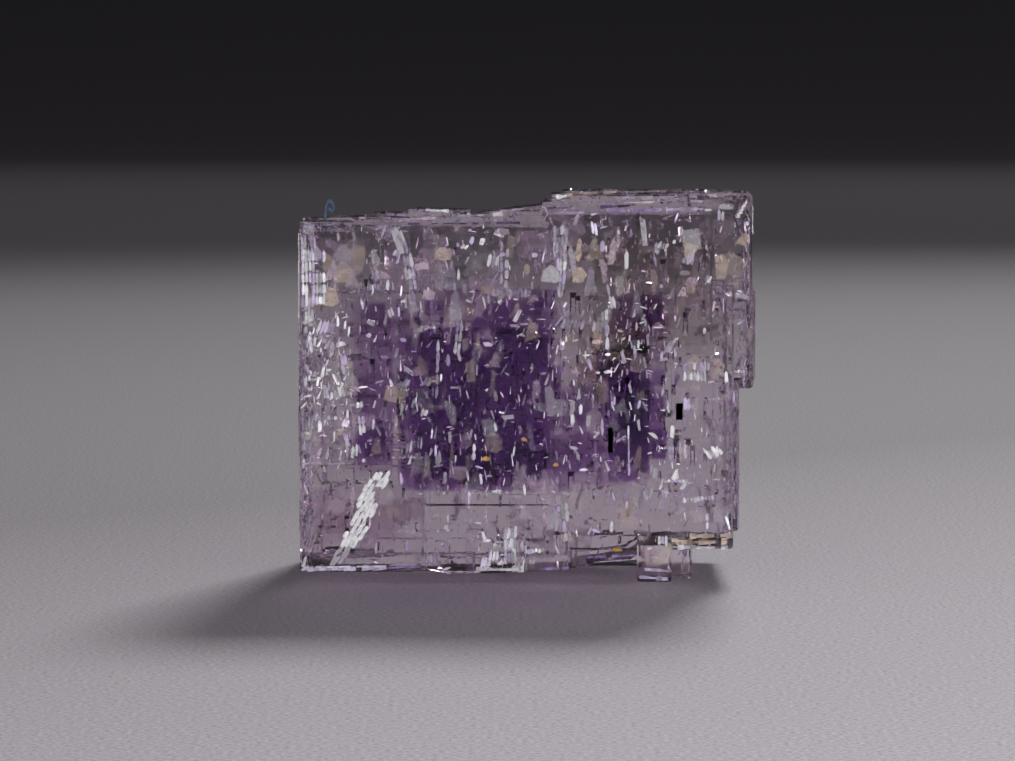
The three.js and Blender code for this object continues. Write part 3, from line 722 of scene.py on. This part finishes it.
def flake_material():
    """Silvery cleavage flakes: pearly, half mirroring, and uneven in how much they cover."""
    material, tree, shader, _ = principled("silvery_flake", Metallic=0.15, Roughness=0.4)
    colour, opacity = look_nodes(tree, (0.16, 0.11, 0.2), (0.96, 0.96, 0.98))
    place = add_node(tree, "TexCoord")
    cover = mapped(tree, noise_at(tree, place, 4000, 3), 0.3, 0.6, 0.6, 1.15)
    tree.links.new(colour, shader.inputs["Base Color"])
    tree.links.new(combined(tree, "MULTIPLY", opacity, cover, clamp=True), shader.inputs["Alpha"])
    return material


def mirror_material():
    """Cleavage flakes that lie so flat that they mirror the light."""
    material, tree, shader, _ = principled("mirror_flake", Metallic=0.85, Alpha=0.9)
    colour, _ = look_nodes(tree, (0.5, 0.42, 0.56), (0.97, 0.96, 1))
    place = add_node(tree, "TexCoord")
    spread = mapped(tree, noise_at(tree, place, 5000), 0, 1, 0.2, 0.5)
    tree.links.new(spread, shader.inputs["Roughness"])
    tree.links.new(colour, shader.inputs["Base Color"])
    return material


def veil_material():
    """Faint, milky growth faces inside the crystal."""
    milk = (0.8, 0.72, 0.8, 1)
    material, tree, shader, _ = principled("milky_veil", Base_Color=milk, Roughness=0.5)
    place = add_node(tree, "TexCoord")
    thin = mapped(tree, noise_at(tree, place, 2500, 4), 0.35, 0.7, 0.05, 0.4)
    tree.links.new(thin, shader.inputs["Alpha"])
    return material


def speckled_material(name, scale, first, last, metallic, roughness):
    """An opaque material whose colour varies between two."""
    material, tree, shader, _ = principled(name, Metallic=metallic, Roughness=roughness)
    noise = add_node(tree, "TexNoise", Scale=scale)
    tree.links.new(ramp(tree, noise.outputs["Fac"], first, last), shader.inputs["Base Color"])
    return material


def gold_material():
    """Small brassy inclusions."""
    return speckled_material("gold_speck", 9000, (0.36, 0.17, 0.03), (0.85, 0.55, 0.16), 0.5, 0.4)


def lint_material():
    """A blue-grey textile fibre."""
    return speckled_material("lint", 6000, (0.02, 0.03, 0.06), (0.12, 0.17, 0.27), 0, 0.8)


def keep_in_box(piece):
    """Moves the vertices that reach out of the crystal's box back to its sides."""
    low, high = CAD_BOUNDS
    for vertex in piece.data.vertices:
        for axis in range(3):
            vertex.co[axis] = min(max(vertex.co[axis], low[axis]), high[axis])


def new_flake_bmesh():
    bm = bmesh.new()
    bm.loops.layers.float_color.new("look")
    return bm


SLIVER = ((-1, -0.9), (0.3, -1.1), (1, -0.5), (0.8, 0.7), (-0.1, 1.1), (-0.9, 0.6))
SQUARE = ((-1, -1), (1, -1), (1, 1), (-1, 1))
WEDGE = ((-1, -1), (1, -0.7), (0.5, 1.1), (0.1, 1.1))
BLADE = ((-0.5, -1.1), (0.6, -1), (1, 0.3), (0.2, 1.1), (-1, 0.8))
OUTLINES = (SLIVER, SLIVER, WEDGE, BLADE, SQUARE)


def add_flake(bm, skin, centre, side, halves, lean, tilt, look, rng, outline=SLIVER):
    """A thin, uneven plate at a place on or under a side, turned by lean in the side's plane, and
    tipped out of it by tilt (about u, about v), in degrees. One that would stick out is left out, and
    so is one whose place is None."""
    if centre is None:
        return
    along, up, out = SIDES[side]
    half_u, half_v = halves
    thick = min(0.02, half_u * 0.5)
    frame_axes = Matrix((along, up, out)).transposed()
    turn = (
        frame_axes
        @ Matrix.Rotation(math.radians(tilt[0]), 3, "X")
        @ Matrix.Rotation(math.radians(tilt[1]), 3, "Y")
        @ Matrix.Rotation(math.radians(-lean), 3, "Z")
    )
    ring = []
    for corner_u, corner_v in outline:
        u = half_u * corner_u * rng.uniform(0.6, 1.15)
        v = half_v * corner_v * rng.uniform(0.75, 1.1)
        ring.append((u, v))
    base = [(centre + turn @ Vector((u, v, -thick))) * MM for u, v in ring]
    top = [(centre + turn @ Vector((u * 0.85, v * 0.92, thick))) * MM for u, v in ring]
    if skin.holds(base + top):
        add_prism(bm, base, top, look)


def flake_tilt(shine, rng):
    """The tilt of a flake on the front. Half of the bright ones mirror one of the two low strips, and
    the duller another one looks, the further it may be tipped."""
    if shine > 0.75 and rng.random() < 0.5:
        way = 1 if rng.random() < 0.65 else -1
        return (MIRROR_RISE + rng.gauss(0, 2), way * MIRROR_TURN + rng.gauss(0, 4))
    stray = 1 + 9 * (1 - shine)
    return (rng.gauss(0, stray / 3), rng.gauss(0, stray))


def flake_look(shine, tint, rng):
    """A flake's brightness, tint and opacity: the dull ones are thin as well."""
    bright = min(1, shine * rng.uniform(0.45, 1.2))
    return (bright, TINTS[tint], 1 if bright > 0.6 else 0.3 + 0.8 * bright)


def add_cluster(bm, skin, side, centre_uv, halves, lean, shine, rng):
    """One flake as the real ones are: short slivers side by side and end to end that fill its shape
    and follow the steps of the surface, each with its own length, tip and brightness."""
    half_u, half_v = halves
    across_count = max(1, round(2 * half_u / 0.15))
    along_count = max(1, round(2 * half_v / 0.5))
    step_u = 2 * half_u / across_count
    step_v = 2 * half_v / along_count
    slope = math.tan(math.radians(lean))
    for n in range(across_count):
        for m in range(along_count):
            across = -half_u + step_u * (n + 0.5)
            along = -half_v + step_v * (m + rng.uniform(0.4, 0.6))
            u = centre_uv[0] + across + along * slope
            v = centre_uv[1] + along - across * slope * 0.4
            tilt = flake_tilt(shine, rng)
            centre = place_on(skin, side, u, v, ON_SURFACE)
            if centre is None:
                continue
            look = flake_look(shine, rng.choice(("silver", "silver", "lilac")), rng)
            sliver = (step_u * rng.uniform(0.5, 0.66), step_v * rng.uniform(0.42, 0.62))
            add_flake(bm, skin, centre, side, sliver, lean, tilt, look, rng)


def place_on(skin, side, u, v, depth):
    """The point at u, v, depth mm under the surface of that side, or None off the crystal."""
    along, up, out = SIDES[side]
    level = skin.level(side, u, v)
    if level is None:
        return None
    return along * u + up * v + out * (level - depth)


def front_flakes(skin):
    """The flakes that the photograph shows, each in its own place."""
    rng = random.Random(3)
    bm = new_flake_bmesh()
    for name, (left, top, right, bottom, lean, shine) in FRONT_FLAKES.items():
        made_before = len(bm.faces)
        centre_uv = (column_mm((left + right) / 2), row_mm((top + bottom) / 2))
        halves = ((right - left) / 2 / PIXELS_PER_MM, (bottom - top) / 2 / PIXELS_PER_MM)
        add_cluster(bm, skin, "front", centre_uv, halves, lean, shine, rng)
        if len(bm.faces) == made_before:
            print("flake with no flat face to lie on:", name)
    return object_from(bm, "flakes_front")


def flake_fields(skin):
    """The fields of fine flakes in the front, most of them upright."""
    rng = random.Random(4)
    bm = new_flake_bmesh()
    for (left, top, right, bottom), count, size, shines, tint in FLAKE_FIELDS.values():
        for _ in range(count):
            u = column_mm(rng.uniform(left, right))
            v = row_mm(rng.uniform(top, bottom))
            length = size[0] + (size[1] - size[0]) * rng.random() ** 1.8
            width = max(0.018, length * rng.uniform(0.12, 0.4))
            halves = (width, length) if rng.random() < 0.8 else (length, width)
            shine = shines[0] + (shines[1] - shines[0]) * rng.random() ** 1.6
            tilt = flake_tilt(shine, rng)
            lean = rng.gauss(2, 14)
            own_tint = tint if rng.random() < 0.6 else rng.choice(("silver", "lilac"))
            look = flake_look(shine, own_tint, rng)
            depth = ON_SURFACE if rng.random() < 0.7 else rng.uniform(0.05, 0.5)
            centre = place_on(skin, "front", u, v, depth)
            add_flake(bm, skin, centre, "front", halves, lean, tilt, look, rng, rng.choice(OUTLINES))
    return object_from(bm, "flake_fields")


def facets(skin):
    """Faint, milky facets on the front, where thin layers lie on each other."""
    rng = random.Random(6)
    bm = new_flake_bmesh()
    (u0, u1), (v0, v1) = side_range("front")
    for _ in range(FACET_COUNT):
        halves = (rng.uniform(0.1, 0.5), rng.uniform(0.12, 0.7))
        u = rng.uniform(u0, u1)
        v = rng.uniform(v0, v1)
        tilt = (rng.gauss(0, 0.6), rng.gauss(0, 1))
        opacity = rng.uniform(0.04, 0.2) * (2.2 if v > row_mm(300) else 1)
        look = (rng.uniform(0.3, 0.8), TINTS[rng.choice(("silver", "pink", "tan"))], opacity)
        centre = place_on(skin, "front", u, v, ON_SURFACE)
        outline = rng.choice(OUTLINES)
        if centre is not None:
            add_flake(bm, skin, centre, "front", halves, rng.gauss(0, 9), tilt, look, rng, outline)
    return object_from(bm, "facets")


def crack(skin):
    """The bright slanting crack: steps down a cleavage plane, each made of short slivers that follow
    its slope and mirror the strip lights."""
    rng = random.Random(5)
    bm = new_flake_bmesh()
    for start, end, width, shine in CRACK_PARTS.values():
        high = Vector((column_mm(start[0]), row_mm(start[1])))
        low = Vector((column_mm(end[0]), row_mm(end[1])))
        run = high - low
        half_width = width / 2 / PIXELS_PER_MM
        lean = math.degrees(math.atan2(run.x, run.y))
        steps = max(2, round(run.length / 0.32))
        slivers = 4
        for m in range(steps):
            share = (m + 0.5) / steps
            narrow = 1 - 0.5 * abs(2 * share - 1) ** 2
            for n in range(slivers):
                across = (n / (slivers - 1) - 0.5) * 2 * half_width * narrow
                place = low + run * share + Vector((across, rng.uniform(-0.05, 0.05)))
                centre = place_on(skin, "front", place.x, place.y, ON_SURFACE)
                if centre is None:
                    continue
                tilt = (MIRROR_RISE + rng.gauss(0, 1.5), MIRROR_TURN * 0.8 + rng.gauss(0, 4))
                look = (shine * rng.uniform(0.85, 1), TINTS["silver"], 1)
                halves = (half_width / slivers * 1.35, run.length / steps * rng.uniform(0.6, 0.95))
                add_flake(bm, skin, centre, "front", halves, lean, tilt, look, rng)
    return object_from(bm, "crack")


def painted_edge_lines(skin):
    """Painted highlights, painted glow and painted shade along the top and the lower edges, as thin
    strips on the surface that shows there, turned to face the camera.
    """
    eye = camera_place() * MM
    column_step = 6
    lift = 0.015 * MM
    rng = random.Random(7)
    bm = new_flake_bmesh()
    for left, row_left, right, row_right, thick, shine, tint in PAINTED_EDGE_LINES.values():
        reach = math.hypot(right - left, row_right - row_left)
        steps = max(1, round(reach / column_step))
        half = thick / 2 / PIXELS_PER_MM * MM
        last = None
        for n in range(steps + 1):
            share = n / steps
            column = left + (right - left) * share
            row = row_left + (row_right - row_left) * share
            point = skin.seen_at(column, row)
            if point is not None:
                point = point + (eye - point).normalized() * lift
            near = point is not None and last is not None and (point - last).length < 1.2 * MM
            if near and rng.random() > 0.14:
                look = (min(1, shine * rng.uniform(0.6, 1.2)), TINTS[tint], rng.uniform(0.5, 0.95))
                along = (point - last).normalized()
                thick_here = half * rng.uniform(0.5, 1.2)
                up = along.cross((eye - point).normalized()).normalized() * thick_here
                deep = (eye - point).normalized() * 2 * lift
                front = [last - up, point - up, point + up * 0.8, last + up]
                add_prism(bm, [corner - deep for corner in front], front, look)
            last = point
    return object_from(bm, "painted_edge_lights")


def scattered_flakes(skin, side, count, seed, kind, name):
    """Slivers over a whole side, most of them upright, some level."""
    depth, size, shines = kind
    rng = random.Random(seed)
    (u0, u1), (v0, v1) = side_range(side)
    bm = new_flake_bmesh()
    for _ in range(count):
        u = rng.uniform(u0, u1)
        v = rng.uniform(v0, v1)
        centre = place_on(skin, side, u, v, rng.uniform(*depth))
        length = size[0] + (size[1] - size[0]) * rng.random() ** 2.2
        width = max(0.016, length * rng.uniform(0.1, 0.3))
        halves = (width, length) if rng.random() < 0.75 else (length, width)
        lean = rng.gauss(0, 11)
        shine = rng.uniform(*shines)
        if side == "front":
            tilt = flake_tilt(shine, rng)
        else:
            tilt = (rng.uniform(-32, 26), rng.uniform(-30, 30))
        look = flake_look(shine, rng.choice(("silver", "silver", "lilac", "pink")), rng)
        if centre is None or side == "front" and in_pixels(centre, CLEAR_FOOT):
            continue
        add_flake(bm, skin, centre, side, halves, lean, tilt, look, rng)
    return object_from(bm, name)


def veils(skin, side, count, seed, depth):
    """Faint rectangles deep under a side, square to the crystal's faces."""
    rng = random.Random(seed)
    (u0, u1), (v0, v1) = side_range(side)
    bm = new_flake_bmesh()
    for _ in range(count):
        half_u = rng.uniform(0.2, 1.1)
        half_v = rng.uniform(0.2, 1.2)
        u = rng.uniform(u0 + half_u, u1 - half_u)
        v = rng.uniform(v0 + half_v, v1 - half_v)
        centre = place_on(skin, side, u, v, rng.uniform(*depth))
        tilt = (rng.uniform(-4, 4), rng.uniform(-4, 4))
        look = (0.8, TINTS["lilac"], 0.3)
        add_flake(bm, skin, centre, side, (half_u, half_v), 0, tilt, look, rng, SQUARE)
    return object_from(bm, "veils_" + side)


def uneven_lines(low, high, rng):
    """Places from low to high with uneven steps between them, as growth zones have."""
    places = [low]
    while places[-1] < high - 0.3:
        places.append(places[-1] + rng.uniform(0.2, 0.6))
    places[-1] = high
    return places


def ragged_side(counts, deepest, rng):
    """How many cells are missing at each place of one side of a zone, in patches two or three wide."""
    missing = {}
    patches = {}
    for a in range(counts[0]):
        for b in range(counts[1]):
            patch = (a // 2, b // 3)
            if patch not in patches:
                patches[patch] = rng.choice(range(deepest + 1))
            missing[a, b] = patches[patch] + (rng.random() < 0.25)
    return missing


def colour_zone(name, pixels, depths, colour, density):
    """One zone of colour: a box of small cells, with cells missing all over its ragged sides."""
    left, top, right, bottom = pixels
    rng = random.Random(name)
    spans = (
        (column_mm(left), column_mm(right)),
        depths,
        (row_mm(bottom), row_mm(top)),
    )
    lines = [uneven_lines(low, high, rng) for low, high in spans]
    counts = [len(places) - 1 for places in lines]
    across = ((1, 2), (0, 2), (0, 1))
    deepest = [min(2, count // 4) for count in counts]
    starts = [ragged_side([counts[n] for n in across[axis]], deepest[axis], rng) for axis in range(3)]
    ends = [ragged_side([counts[n] for n in across[axis]], deepest[axis], rng) for axis in range(3)]

    def filled(cell):
        for axis in range(3):
            key = tuple(cell[n] for n in across[axis])
            if key not in starts[axis]:
                return False
            if not starts[axis][key] <= cell[axis] < counts[axis] - ends[axis][key]:
                return False
        return True

    bm = bmesh.new()
    corners = {}

    def corner(spot):
        if spot not in corners:
            corners[spot] = bm.verts.new([lines[axis][spot[axis]] * MM for axis in range(3)])
        return corners[spot]

    for cell in itertools.product(*(range(count) for count in counts)):
        if not filled(cell):
            continue
        for axis, step in itertools.product(range(3), (0, 1)):
            beyond = list(cell)
            beyond[axis] += 2 * step - 1
            if filled(tuple(beyond)):
                continue
            one, two = across[axis]
            spots = []
            for add_one, add_two in ((0, 0), (1, 0), (1, 1), (0, 1)):
                spot = list(cell)
                spot[axis] += step
                spot[one] += add_one
                spot[two] += add_two
                spots.append(tuple(spot))
            bm.faces.new([corner(spot) for spot in spots])
    if not bm.faces:
        raise ValueError("zone " + name + " has no cells left")
    piece = object_from(bm, name)
    piece.data.materials.append(zone_material(name, colour, density))
    return piece


def gold_specks(skin):
    rng = random.Random(8)
    bm = bmesh.new()
    for name, (column, row, size) in GOLD_SPECKS.items():
        seen = skin.seen_at(column, row)
        if seen is None:
            print("gold speck off the crystal:", name)
            continue
        centre = seen / MM + Vector((0, 0.05, 0))
        made = bmesh.ops.create_icosphere(bm, subdivisions=1, radius=size / 2 * MM)
        for vertex in made["verts"]:
            uneven = rng.uniform(0.7, 1.15)
            flat = Vector((vertex.co.x * 1.3, vertex.co.y * 0.4, vertex.co.z * 0.8))
            vertex.co = flat * uneven + centre * MM
    return object_from(bm, "gold_specks")


def lint_fibre():
    """A curled fibre, standing on the upper left edge."""
    points = [
        (325, 221),
        (325, 213),
        (326, 205),
        (329, 200),
        (333, 205),
        (334.5, 210),
        (331, 213),
        (328, 208),
    ]
    depth = -4.9
    curve = bpy.data.curves.new("lint", "CURVE")
    curve.dimensions = "3D"
    curve.bevel_depth = 0.075 * MM
    curve.bevel_resolution = 2
    spline = curve.splines.new("NURBS")
    spline.points.add(len(points) - 1)
    spline.use_endpoint_u = True
    spline.order_u = 4
    for point, (column, row) in zip(spline.points, points):
        place = Vector((column_mm(column), depth, row_mm(row))) * MM
        point.co = (*place, 1)
    curve.use_fill_caps = True
    piece = add_object("lint_path", curve)
    depsgraph = bpy.context.evaluated_depsgraph_get()
    mesh = bpy.data.meshes.new_from_object(piece.evaluated_get(depsgraph))
    bpy.data.objects.remove(piece, do_unlink=True)
    return add_object("lint_fibre", mesh)


def floor_material():
    """A pale, neutral surface with a fine satin grain. Its colour holds painted light: lighter towards
    the front right and darker far off, a painted pool of light round the crystal."""
    material, tree, shader, _ = principled("pale_floor", Roughness=0.8, Specular_IOR_Level=0.08)
    place = add_node(tree, "TexCoord")
    grain = noise_at(tree, place, 5200)
    tint = ramp(tree, grain, (0.42, 0.392, 0.42), (0.66, 0.617, 0.66), places=(0.3, 0.7))
    away = add_node(tree, "VectorMath")
    away.operation = "LENGTH"
    tree.links.new(place.outputs["Object"], away.inputs[0])
    # Painted light: the colour darkens with distance from the middle and is lighter towards the front
    # right, a painted pool of light in place of the lamps' own falloff.
    painted_far_falloff = mapped(tree, away.outputs["Value"], -0.3, 2.8, 1, 0.25, "SMOOTHERSTEP")
    painted_near_falloff = mapped(tree, away.outputs["Value"], 0, 0.25, 1, 0.85, "SMOOTHSTEP")
    to_front_right = add_node(tree, "VectorMath")
    to_front_right.operation = "DOT_PRODUCT"
    to_front_right.inputs[1].default_value = (0.75, -0.66, 0)
    tree.links.new(place.outputs["Object"], to_front_right.inputs[0])
    painted_front_right_light = mapped(tree, to_front_right.outputs["Value"], -35 * MM, 55 * MM, 0.72, 1.45)
    painted_falloff = combined(tree, "MULTIPLY", painted_far_falloff, painted_near_falloff)
    shade = add_node(tree, "VectorMath")
    shade.operation = "SCALE"
    tree.links.new(tint, shade.inputs[0])
    tree.links.new(combined(tree, "MULTIPLY", painted_falloff, painted_front_right_light), shade.inputs["Scale"])
    tree.links.new(shade.outputs["Vector"], shader.inputs["Base Color"])
    add_bump(tree, shader, grain, 0.5, 0.05)
    return material


def stage():
    """A round floor that curves up into a wall all the way round."""
    flat = 1.8
    curve = 1.2
    height = 2.6
    profile = [(0, 0), (flat, 0)]
    steps = 14
    for n in range(1, steps + 1):
        angle = math.pi / 2 * n / steps
        profile.append((flat + curve * math.sin(angle), curve * (1 - math.cos(angle))))
    profile.append((flat + curve, height))
    bm = bmesh.new()
    path = [bm.verts.new((radius, 0, z)) for radius, z in profile]
    edges = [bm.edges.new(pair) for pair in zip(path, path[1:])]
    bmesh.ops.spin(
        bm,
        geom=path + edges,
        cent=(0, 0, 0),
        axis=(0, 0, 1),
        angle=math.tau,
        steps=96,
        use_merge=True,
    )
    bmesh.ops.remove_doubles(bm, verts=bm.verts[:], dist=1e-5)
    bmesh.ops.recalc_face_normals(bm, faces=bm.faces[:])
    for face in bm.faces:
        face.smooth = True
    mesh = bpy.data.meshes.new("floor")
    bm.to_mesh(mesh)
    bm.free()
    floor = add_object("floor", mesh)
    floor.data.materials.append(floor_material())


def area_light(name, place, target, size, power, spread=180):
    data = bpy.data.lights.new(name, "AREA")
    data.shape = "RECTANGLE"
    data.size = size[0] * MM
    data.size_y = size[1] * MM
    data.energy = power
    data.spread = math.radians(spread)
    light = add_object(name, data)
    light.location = Vector(place) * MM
    aim = (Vector(target) - Vector(place)).to_track_quat("-Z", "Y")
    light.rotation_euler = aim.to_euler()


def lights():
    """A soft box behind and above, a strip low at each side in front, and wide ones for the floor."""
    area_light("back_softbox", (160, 740, 470), (10, -30, 0), (190, 190), 0.45, 52)
    area_light("left_strip", (-110, -190, 18), (0, -5, 9), (120, 32), 0.13)
    area_light("right_strip", (110, -190, 18), (0, -5, 9), (120, 32), 0.175)
    area_light("top_softbox", (150, 330, 400), (60, 330.1, 0), (300, 300), 0.07)
    area_light("far_softbox", (300, 1100, 700), (200, 1300, 0), (600, 600), 0.8)
    world = bpy.data.worlds.new("studio")
    world.use_nodes = True
    background = world.node_tree.nodes["Background"]
    background.inputs["Color"].default_value = (0.97, 0.94, 1, 1)
    background.inputs["Strength"].default_value = 0.17
    bpy.context.scene.world = world


def camera():
    place = camera_place()
    target = Vector((place.x, place.y + CAMERA_DISTANCE, row_mm(PHOTO_CENTRE[1])))
    data = bpy.data.cameras.new("camera")
    data.sensor_width = SENSOR_WIDTH
    data.lens = SENSOR_WIDTH * (target - place).length * PIXELS_PER_MM / PHOTO_WIDTH
    data.clip_start = 0.01
    data.clip_end = 20
    piece = add_object("camera", data)
    piece.location = place * MM
    piece.rotation_euler = (target - place).to_track_quat("-Z", "Y").to_euler()
    bpy.context.scene.camera = piece


def render_look():
    scene = bpy.context.scene
    scene.view_settings.view_transform = "Standard"
    scene.cycles.max_bounces = 8
    scene.cycles.transmission_bounces = 7
    scene.cycles.transparent_max_bounces = 16
    scene.cycles.diffuse_bounces = 2
    scene.cycles.glossy_bounces = 3
    scene.cycles.caustics_refractive = True
    scene.cycles.caustics_reflective = True
    scene.cycles.blur_glossy = 0.3


def carry(piece, material=None):
    """Gives a piece its material, where it has none of its own yet, and makes it part of the object."""
    keep_in_box(piece)
    if material is not None:
        piece.data.materials.clear()
        piece.data.materials.append(material)
        for face in piece.data.polygons:
            face.material_index = 0
    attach(piece, "root")


def build():
    camera()
    render_look()
    stage()
    lights()
    body = crystal_body()
    skin = Skin(body)
    carry(body, fluorite_material())
    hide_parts(NODE)
    for name, zone in COLOUR_ZONES.items():
        carry(colour_zone(name, *zone))
    silver = flake_material()
    mirror = mirror_material()
    milky = veil_material()
    carry(front_flakes(skin), silver)
    carry(flake_fields(skin), silver)
    carry(facets(skin), silver)
    carry(crack(skin), silver)
    # Painted highlights and painted shade along the edges.
    carry(painted_edge_lines(skin), silver)
    carry(veils(skin, "front", 90, 41, (6.5, 9.5)), milky)
    carry(veils(skin, "left", 40, 42, (1, 6)), milky)
    for number, side in enumerate(SIDES):
        count = SCATTERED[side]
        fine = scattered_flakes(skin, side, count["fine"], 50 + number, FINE, "fine_flakes_" + side)
        carry(fine, silver)
        glints = scattered_flakes(skin, side, count["glints"], 70 + number, GLINTS, "glints_" + side)
        carry(glints, mirror)
        if "bright" in count:
            bright = scattered_flakes(skin, side, count["bright"], 60 + number, BRIGHT, "flakes_" + side)
            carry(bright, silver)
    carry(scattered_flakes(skin, "front", 260, 90, DEEP, "deep_flakes"), silver)
    carry(gold_specks(skin), gold_material())
    carry(lint_fibre(), lint_material())


build()
